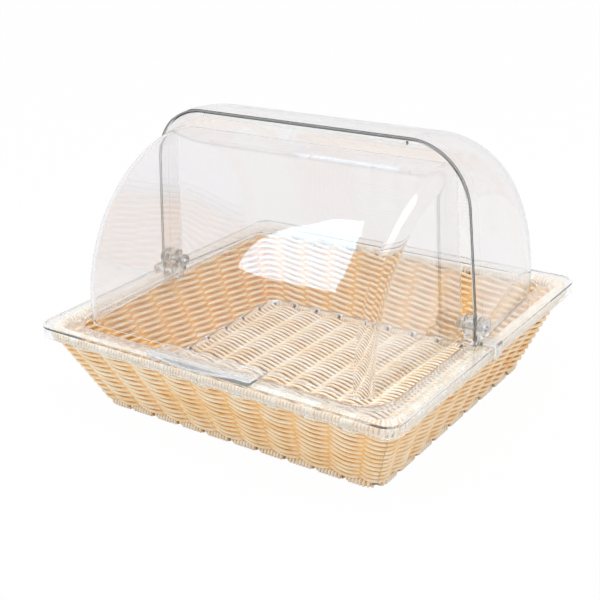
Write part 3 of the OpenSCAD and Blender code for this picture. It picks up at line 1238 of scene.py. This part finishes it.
@dataclass
class Basket:
    """The whole basket: walls, floor, the two bound rings and the lashings."""

    form: BasketForm = field(default_factory=BasketForm)

    def build(self) -> None:
        """Make the finishes and every woven or wound piece."""
        hexes = ("FCE9CA", "F8D8A6", "ECB772")
        # Painted shade: orange mixed into the wall strands where they lie between their
        # neighbours.
        painted_gap_shade_hex = "E29C48"
        along_x = ExtrudedStrand(
            "woven_strand_along_x", *hexes, grain=Grain.ALONG_X, painted_shade_hex=painted_gap_shade_hex
        ).build()
        along_y = ExtrudedStrand(
            "woven_strand_along_y", *hexes, grain=Grain.ALONG_Y, painted_shade_hex=painted_gap_shade_hex
        ).build()
        bound = ExtrudedStrand(
            "wound_strand", "FDF4E6", "F8E6CB", "EDCB9C", grain=Grain.EVEN
        ).build()
        # Painted shade: orange colour of the sheets and tubes that stand for the shade between
        # strands and turns.
        shaded = ExtrudedStrand(
            "strand_in_shade", "F6C27C", "ECB062", "DA9A48", grain=Grain.EVEN
        ).build()
        # Painted shade: the floor strands get an orange shade colour where they lie between their
        # neighbours.
        floor = ExtrudedStrand(
            "woven_floor_strand", "FFF3E0", "FBE4C2", "F0C892", grain=Grain.ALONG_X,
            painted_shade_hex="ECB060",
        ).build()
        WovenWalls(self.form).build((along_x, along_y), shaded)
        WovenFloor(self.form).build(floor)
        form = self.form
        BoundRing(
            "bound_rim", form, form.rim_half, form.rim_corner, form.rim_z,
            outer_r=form.rim_r, stake_gap=0.0, replaced="rim_binding",
        ).build(bound, shaded)
        BoundRing(
            "bound_foot", form, form.foot_half, form.foot_corner, form.foot_z,
            outer_r=form.foot_r, stake_gap=1.9, replaced="foot_binding", floor_clear=0.0,
        ).build(bound, shaded)
        RimLashings(form).build(bound)


# ---------------------------------------------------------------- covers and wires


@dataclass(frozen=True)
class PaintedEdgeShade:
    """Grey painted onto the flame-polished edge of a clear sheet, seen end on.

    The grey is painted shade: it stands for light that has run a long way inside the sheet and
    comes out here, so that the edge is the only line of the cover that the eye finds: an even
    grey with a shine on it.
    """

    name: str = "sheet_edge_painted_shade"
    grey_hex: str = "8C8D89"
    roughness: float = 0.22
    ior: float = 1.585

    def build(self) -> bpy.types.Material:
        """Make the material.

        Returns:
            The material.
        """
        material, output = new_material(self.name)
        surface = add_node(
            material.node_tree,
            "ShaderNodeBsdfPrincipled",
            values={
                "Base Color": linear(self.grey_hex),
                "Roughness": self.roughness,
                "IOR": self.ior,
            },
        )
        material.node_tree.links.new(surface.outputs["BSDF"], output.inputs["Surface"])
        return material


@dataclass(frozen=True)
class CoverForm:
    """One of the two covers: a straight roof turned about the dome axis, drafted sides."""

    name: str
    half_w: float
    roof_r: float
    corner: float
    draft: float
    wall: float
    edge_y: float
    foot_z: float
    behind: bool
    hem_w: float = 0.0
    hem_t: float = 0.0
    edge_land: float = 0.0
    boss: tuple[float, float, float] = (0.0, 0.0, 0.0)
    hole_r: float = 2.5
    turn_steps: int = 216
    corner_steps: int = 30

    def outline(self, shrink: float) -> list[Plan]:
        """Half section of the cover, as distance from the dome axis and place along it.

        Args:
            shrink: How far inside the outer surface; negative is outside.

        Returns:
            Points from the left end of the axis to the right end.
        """
        half, roof, corner = self.half_w - shrink, self.roof_r - shrink, self.corner - shrink
        draft = math.radians(self.draft)
        straight = half - math.tan(draft) * (roof - corner) - corner / math.cos(draft)
        right: list[Plan] = []
        for step in range(self.corner_steps + 1):
            angle = (math.pi / 2 - draft) * step / self.corner_steps
            right.append(
                (roof - corner + corner * math.cos(angle), straight + corner * math.sin(angle))
            )
        left = [(radius, -x) for radius, x in reversed(right)]
        return [(0.0, -half), *left, *right, (0.0, half)]


@dataclass
class CoverSet:
    """The clear frame, both covers, the grip and the hinges.

    The covers and the brackets are modelled anew at their solids' sizes, because a clear
    round sheet shows every facet; the other pieces are their own solids, dressed.
    """

    dome_axis: Plan = (1.75, 89.5)
    hinge_axis: Plan = (1.75, 94.0)
    rear: CoverForm = CoverForm(
        "rear_cover", 164.7, 152.5, 53.0, 4.8, 2.4, -8.25, 81.3, True,
        hem_w=11.0, hem_t=0.6, edge_land=1.3, boss=(160.35, 165.5, 9.0), hole_r=2.53,
    )
    front: CoverForm = CoverForm(
        "front_cover", 147.2, 134.5, 12.0, 3.3, 2.5, 0.75, 82.0, False,
        boss=(143.4, 149.0, 5.5), hole_r=2.56,
    )
    arm_slot: tuple[Point, Point] = ((158.35, -4.55, 80.3), (166.75, 8.05, 84.6))
    frame_node: str = "base_frame"
    grip_node: str = "lift_grip"
    fittings: tuple[str, ...] = (
        "stop_strip",
        "hinge_pin_left", "hinge_pin_right", "pin_cap_left", "pin_cap_right",
        "pivot_washer_left", "pivot_washer_right",
    )
    hem_step: float = 0.6
    ear_x: Plan = (150.0, 153.0)
    cheek_x: Plan = (154.2, 160.2)
    hook_x: Plan = (177.15, 179.55)
    bracket_z: Plan = (81.36, 84.3)
    ear_z: Plan = (75.0, 99.0)
    hook_low: float = 72.0
    ear_half: float = 4.0
    cheek_half: float = 8.0
    arm_half: float = 6.0
    cheek_r: float = 9.0
    pin_hole_r: float = 2.53
    overcut: float = 1.0
    far: float = 400.0
    flat_side: float = 0.98
    flat_edge: float = 0.99
    edge_near: float = 0.1

    def kept_side(self, form: CoverForm) -> bpy.types.Object:
        """Make the box that a cover's body lies in, from its edge backwards or forwards.

        Args:
            form: The cover's sizes.

        Returns:
            The box.
        """
        low_y, high_y = (
            (form.edge_y, self.far) if form.behind else (-self.far, form.edge_y)
        )
        return block("kept_side", (-self.far, low_y, form.foot_z), (self.far, high_y, self.far))

    def cover(self, form: CoverForm) -> bpy.types.Object:
        """Model one cover.

        Args:
            form: Its sizes.

        Returns:
            The finished piece.
        """
        piece = revolved(form.name, form.outline(0.0), self.dome_axis, form.turn_steps)
        combine(piece, self.kept_side(form), "INTERSECT")
        if form.hem_t:
            hem = revolved("hem", form.outline(-form.hem_t), self.dome_axis, form.turn_steps)
            start_y = form.edge_y + self.hem_step
            low = (-self.far, start_y, form.foot_z)
            high = (self.far, form.edge_y + form.hem_w, self.far)
            combine(hem, block("hem_part", low, high), "INTERSECT")
            combine(piece, hem, "UNION")
        hollow = revolved("hollow", form.outline(form.wall), self.dome_axis, form.turn_steps)
        combine(piece, hollow, "DIFFERENCE")
        if form.edge_land:
            rebate = revolved(
                "rebate", form.outline(form.edge_land), self.dome_axis, form.turn_steps
            )
            low = (-self.far, form.edge_y - self.overcut, form.foot_z - self.overcut)
            high = (self.far, form.edge_y + self.hem_step, self.far)
            combine(rebate, block("rebate_part", low, high), "INTERSECT")
            combine(piece, rebate, "DIFFERENCE")
        start, end, radius = form.boss
        for side in (-1, 1):
            boss = barrel("boss", side * start, side * end, self.hinge_axis, radius)
            combine(piece, boss, "UNION")
        start, end = start - 2 * self.overcut, end + 2 * self.overcut
        for side in (-1, 1):
            hole = barrel("hole", side * start, side * end, self.hinge_axis, form.hole_r)
            combine(piece, hole, "DIFFERENCE")
        return piece

    def brackets(self, finish: bpy.types.Material) -> None:
        """Model both hinge brackets, a hair above the frame that they sit on.

        Args:
            finish: Finish of the clear fittings.
        """
        y, z = self.hinge_axis
        ear, cheek, hook = self.ear_x, self.cheek_x, self.hook_x
        seat, arm_top = self.bracket_z
        ear_low, ear_high = self.ear_z
        start, end = ear[0] - self.overcut, cheek[1] + self.overcut
        for side, name in ((-1, "left"), (1, "right")):
            plates = (
                (ear[0], ear[1], self.ear_half, ear_low, ear_high),
                (cheek[0], cheek[1], self.cheek_half, seat, z),
                (ear[0], cheek[1], self.cheek_half, seat, arm_top),
                (cheek[0], hook[1], self.arm_half, seat, arm_top),
                (hook[0], hook[1], self.arm_half, self.hook_low, arm_top),
            )
            title = f"hinge_bracket_{name}_clear"
            piece = barrel(title, side * cheek[0], side * cheek[1], (y, z), self.cheek_r)
            for near_x, far_x, half, low, high in plates:
                left, right = sorted((side * near_x, side * far_x))
                plate = block("plate", (left, y - half, low), (right, y + half, high))
                combine(piece, plate, "UNION")
            ends = (side * ear[0], side * ear[1])
            combine(piece, barrel("ear_top", *ends, (y, ear_high), self.ear_half), "UNION")
            hole = barrel("hole", side * start, side * end, (y, z), self.pin_hole_r)
            combine(piece, hole, "DIFFERENCE")
            smooth(piece)
            dress(piece, finish)
            place(piece, Body.BIN, f"hinge_bracket_{name}")

    def build(self, nodes: dict[str, bpy.types.Object]) -> None:
        """Model the covers and brackets and dress every clear piece.

        Args:
            nodes: The solids by name.
        """
        sheet = ClearPolycarbonate(veiled_flanks=True).build()
        open_frame = ClearPolycarbonate(
            "clear_frame_moulding", pass_hex="FDFDFD", clear_share=0.965, coat=0.5, coat_ior=1.5
        ).build()
        thick = ClearPolycarbonate(
            "clear_moulded_fitting", roughness=0.03, ripple_mm=14, pass_hex="FAFBFA",
            ior=1.32, clear_share=0.955, coat=0.6, coat_ior=1.5, swallow_per_m=1.2,
        ).build()
        bent = ClearPolycarbonate(
            "clear_bent_strip", roughness=0.03, ripple_mm=11, pass_hex="FBFBFB", ior=1.16,
            clear_share=0.93, coat=1.0, coat_ior=1.5,
        ).build()
        edge = PaintedEdgeShade().build()
        rear, front = self.cover(self.rear), self.cover(self.front)
        low, high = self.arm_slot
        combine(rear, block("slot_right", low, high), "DIFFERENCE")
        mirrored = (-high[0], low[1], low[2]), (-low[0], high[1], high[2])
        combine(rear, block("slot_left", *mirrored), "DIFFERENCE")
        for piece, body, node in (
            (rear, Body.BIN, "rear_shell"),
            (front, Body.FRONT_COVER, "front_shell"),
        ):
            smooth(piece)
            dress(piece, sheet)
            flank = piece.data.attributes.new(FLANK_ATTRIBUTE, "FLOAT", "FACE")
            for face in piece.data.polygons:
                outward = face.normal.x * math.copysign(1, face.center.x)
                flank.data[face.index].value = float(outward > self.flat_side)
            place(piece, body, node)
        # Painted shade: the rear cover's cut edge faces get the grey edge material.
        rear.data.materials.append(edge)
        for face in rear.data.polygons:
            off = abs(face.center.y / MM - self.rear.edge_y)
            if face.normal.y < -self.flat_edge and off < self.edge_near:
                face.material_index = 1
        self.brackets(thick)
        dress(nodes[self.frame_node], open_frame)
        for name in self.fittings:
            dress(nodes[name], thick)
        dress(nodes[self.grip_node], bent)
        deselect()
        LOG.info("clear solids dressed: %d", 2 + len(self.fittings))


@dataclass
class SteelWires:
    """The rings, posts, stakes and ribs: their own solids, dressed."""

    bare: tuple[str, ...] = ("rim_wire", "foot_wire", "corner_posts")
    coated_and_shaded: tuple[str, ...] = ("wall_uprights", "floor_ribs")

    def build(self, nodes: dict[str, bpy.types.Object]) -> None:
        """Dress the wires.

        Args:
            nodes: The solids by name.
        """
        zinc = DrawnWire("zinc_plated_steel_wire", "8C8D8F", metallic=1.0, roughness=0.38).build()
        # Painted shade, partly a real coat: the tan on the stakes and ribs stands for the orange
        # shade between the strands.
        tan = DrawnWire("tan_coat_and_painted_shade_wire", "DDA262", metallic=0.0, roughness=0.5).build()
        for name in self.bare:
            dress(nodes[name], zinc)
        for name in self.coated_and_shaded:
            dress(nodes[name], tan)
        LOG.info("wires dressed: %d", len(self.bare) + len(self.coated_and_shaded))


# ---------------------------------------------------------------- studio


@dataclass(frozen=True)
class SoftPanel:
    """A flat studio lamp, by its outline in millimetres."""

    name: str
    corners: tuple[Point, ...]
    radiance: float
    hue: str = "FFFFFF"


@dataclass
class Studio:
    """Camera, lamps, floor and surroundings."""

    focal_px: float = 1092.0
    azimuth: float = 35.05
    elevation: float = 25.29
    distance: float = 979.9
    roll: float = -1.99
    target: Point = (0.0, 5.75, 35.0)
    principal: Plan = (16.24, 48.39)
    image_px: float = 600.0
    sensor_mm: float = 36.0
    panels: tuple[SoftPanel, ...] = (
        SoftPanel(
            "left_panel",
            (
                (-868, -1130, 817), (-817, -961, 941), (-782, -816, 1044), (-754, -687, 1134),
                (-711, -480, 1279), (-685, -401, 1337), (-669, -255, 1434), (-617, -209, 1482),
                (-575, -419, 1365), (-556, -634, 1237), (-560, -821, 1119), (-586, -1008, 993),
                (-646, -1237, 829), (-752, -1212, 807), (-836, -1198, 786),
            ),
            6.6,
            "BCE4FF",
        ),
        SoftPanel(
            "overhead_panel",
            ((-60, -850, 1400), (1000, -850, 1400), (1000, 360, 1400), (-60, 360, 1400)),
            2.6,
        ),
    )
    ambient: float = 0.84
    floor_half: float = 3000.0
    floor_grain_mm: float = 4.0
    floor_tone: Plan = (0.84, 0.88)
    floor_white: float = 0.975

    def camera(self) -> None:
        """Create the camera that took the photo's view."""
        azimuth, elevation = math.radians(self.azimuth), math.radians(self.elevation)
        back = Vector(
            (
                math.sin(azimuth) * math.cos(elevation),
                -math.cos(azimuth) * math.cos(elevation),
                math.sin(elevation),
            )
        )
        level = Vector((math.cos(azimuth), math.sin(azimuth), 0.0))
        rise = back.cross(level)
        roll = math.radians(self.roll)
        right = level * math.cos(roll) + rise * math.sin(roll)
        up = rise * math.cos(roll) - level * math.sin(roll)
        bpy.ops.object.camera_add()
        camera = bpy.context.object
        camera.name = "photo_camera"
        turn = Matrix((right, up, back)).transposed().to_4x4()
        spot = (Vector(self.target) + back * self.distance) * MM
        camera.matrix_world = Matrix.Translation(spot) @ turn
        camera.data.sensor_width = self.sensor_mm
        camera.data.lens = self.focal_px / self.image_px * self.sensor_mm
        camera.data.shift_x = -self.principal[0] / self.image_px
        camera.data.shift_y = self.principal[1] / self.image_px
        bpy.context.scene.camera = camera

    def lamp(self, panel: SoftPanel) -> None:
        """Hang one lamp panel; the camera doesn't see it, but gloss does.

        Args:
            panel: The lamp's corners, radiance and hue.
        """
        bpy.ops.mesh.primitive_circle_add(vertices=len(panel.corners), fill_type="NGON")
        lamp = bpy.context.object
        lamp.name = panel.name
        for vertex, corner in zip(lamp.data.vertices, panel.corners, strict=True):
            vertex.co = Vector(corner) * MM
        material, output = new_material(panel.name)
        glow = add_node(
            material.node_tree,
            "ShaderNodeEmission",
            values={"Color": linear(panel.hue), "Strength": panel.radiance},
        )
        material.node_tree.links.new(glow.outputs["Emission"], output.inputs["Surface"])
        dress(lamp, material)
        lamp.visible_camera = False

    def world(self) -> None:
        """White surroundings for what is seen, a softer level for what is lit."""
        world = bpy.data.worlds.new("studio_white")
        world.use_nodes = True
        tree = world.node_tree
        tree.nodes.clear()
        output = tree.nodes.new("ShaderNodeOutputWorld")
        soft, white = (
            add_node(
                tree,
                "ShaderNodeBackground",
                values={"Color": linear("FFFFFF"), "Strength": strength},
            ).outputs["Background"]
            for strength in (self.ambient, 1.0)
        )
        mixed = add_node(
            tree, "ShaderNodeMixShader", values={0: seen_directly(tree), 1: soft, 2: white}
        )
        tree.links.new(mixed.outputs["Shader"], output.inputs["Surface"])
        bpy.context.scene.world = world

    def floor(self) -> None:
        """Lay the white sweep that the bin stands on; it keeps a faint shadow."""
        bpy.ops.mesh.primitive_plane_add(size=2 * self.floor_half * MM)
        floor = bpy.context.object
        floor.name = "studio_floor"
        material, output = new_material("white_sweep")
        tree = material.node_tree
        grain = add_node(
            tree,
            "ShaderNodeTexNoise",
            values={
                "Vector": add_node(tree, "ShaderNodeTexCoord").outputs["Object"],
                "Scale": 1 / (self.floor_grain_mm * MM),
                "Detail": 2.0,
            },
        )
        darkest, palest = self.floor_tone
        tone = add_node(
            tree,
            "ShaderNodeMapRange",
            values={"Value": grain.outputs["Fac"], "To Min": darkest, "To Max": palest},
        )
        matt = add_node(
            tree, "ShaderNodeBsdfDiffuse", values={"Color": tone.outputs["Result"]}
        )
        glow = add_node(tree, "ShaderNodeEmission", values={"Strength": 1.0})
        share = add_node(
            tree,
            "ShaderNodeMath",
            settings={"operation": "MULTIPLY"},
            values={0: seen_directly(tree), 1: self.floor_white},
        )
        mixed = add_node(
            tree,
            "ShaderNodeMixShader",
            values={
                0: share.outputs[0],
                1: matt.outputs["BSDF"],
                2: glow.outputs["Emission"],
            },
        )
        tree.links.new(mixed.outputs["Shader"], output.inputs["Surface"])
        dress(floor, material)

    def build(self) -> None:
        """Set up the whole studio."""
        deselect()
        self.camera()
        for panel in self.panels:
            self.lamp(panel)
        self.world()
        self.floor()
        deselect()
        bpy.context.scene.view_settings.view_transform = "Standard"
        LOG.info("studio ready with %d lamp panels", len(self.panels))


# ---------------------------------------------------------------- the bin


def corners(bounds: tuple[Vector, Vector]) -> list[list[float]]:
    """Turn a pair of box corners into plain lists."""
    return [list(corner) for corner in bounds]


def main() -> None:
    """Build the bin's looks round its solids."""
    logging.basicConfig(level=logging.INFO, format="%(name)s: %(message)s")
    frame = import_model()
    Studio().build()
    nodes = frame["nodes"]
    CoverSet().build(nodes)
    SteelWires().build(nodes)
    Basket().build()
    deselect()


if __name__ == "__main__":
    main()
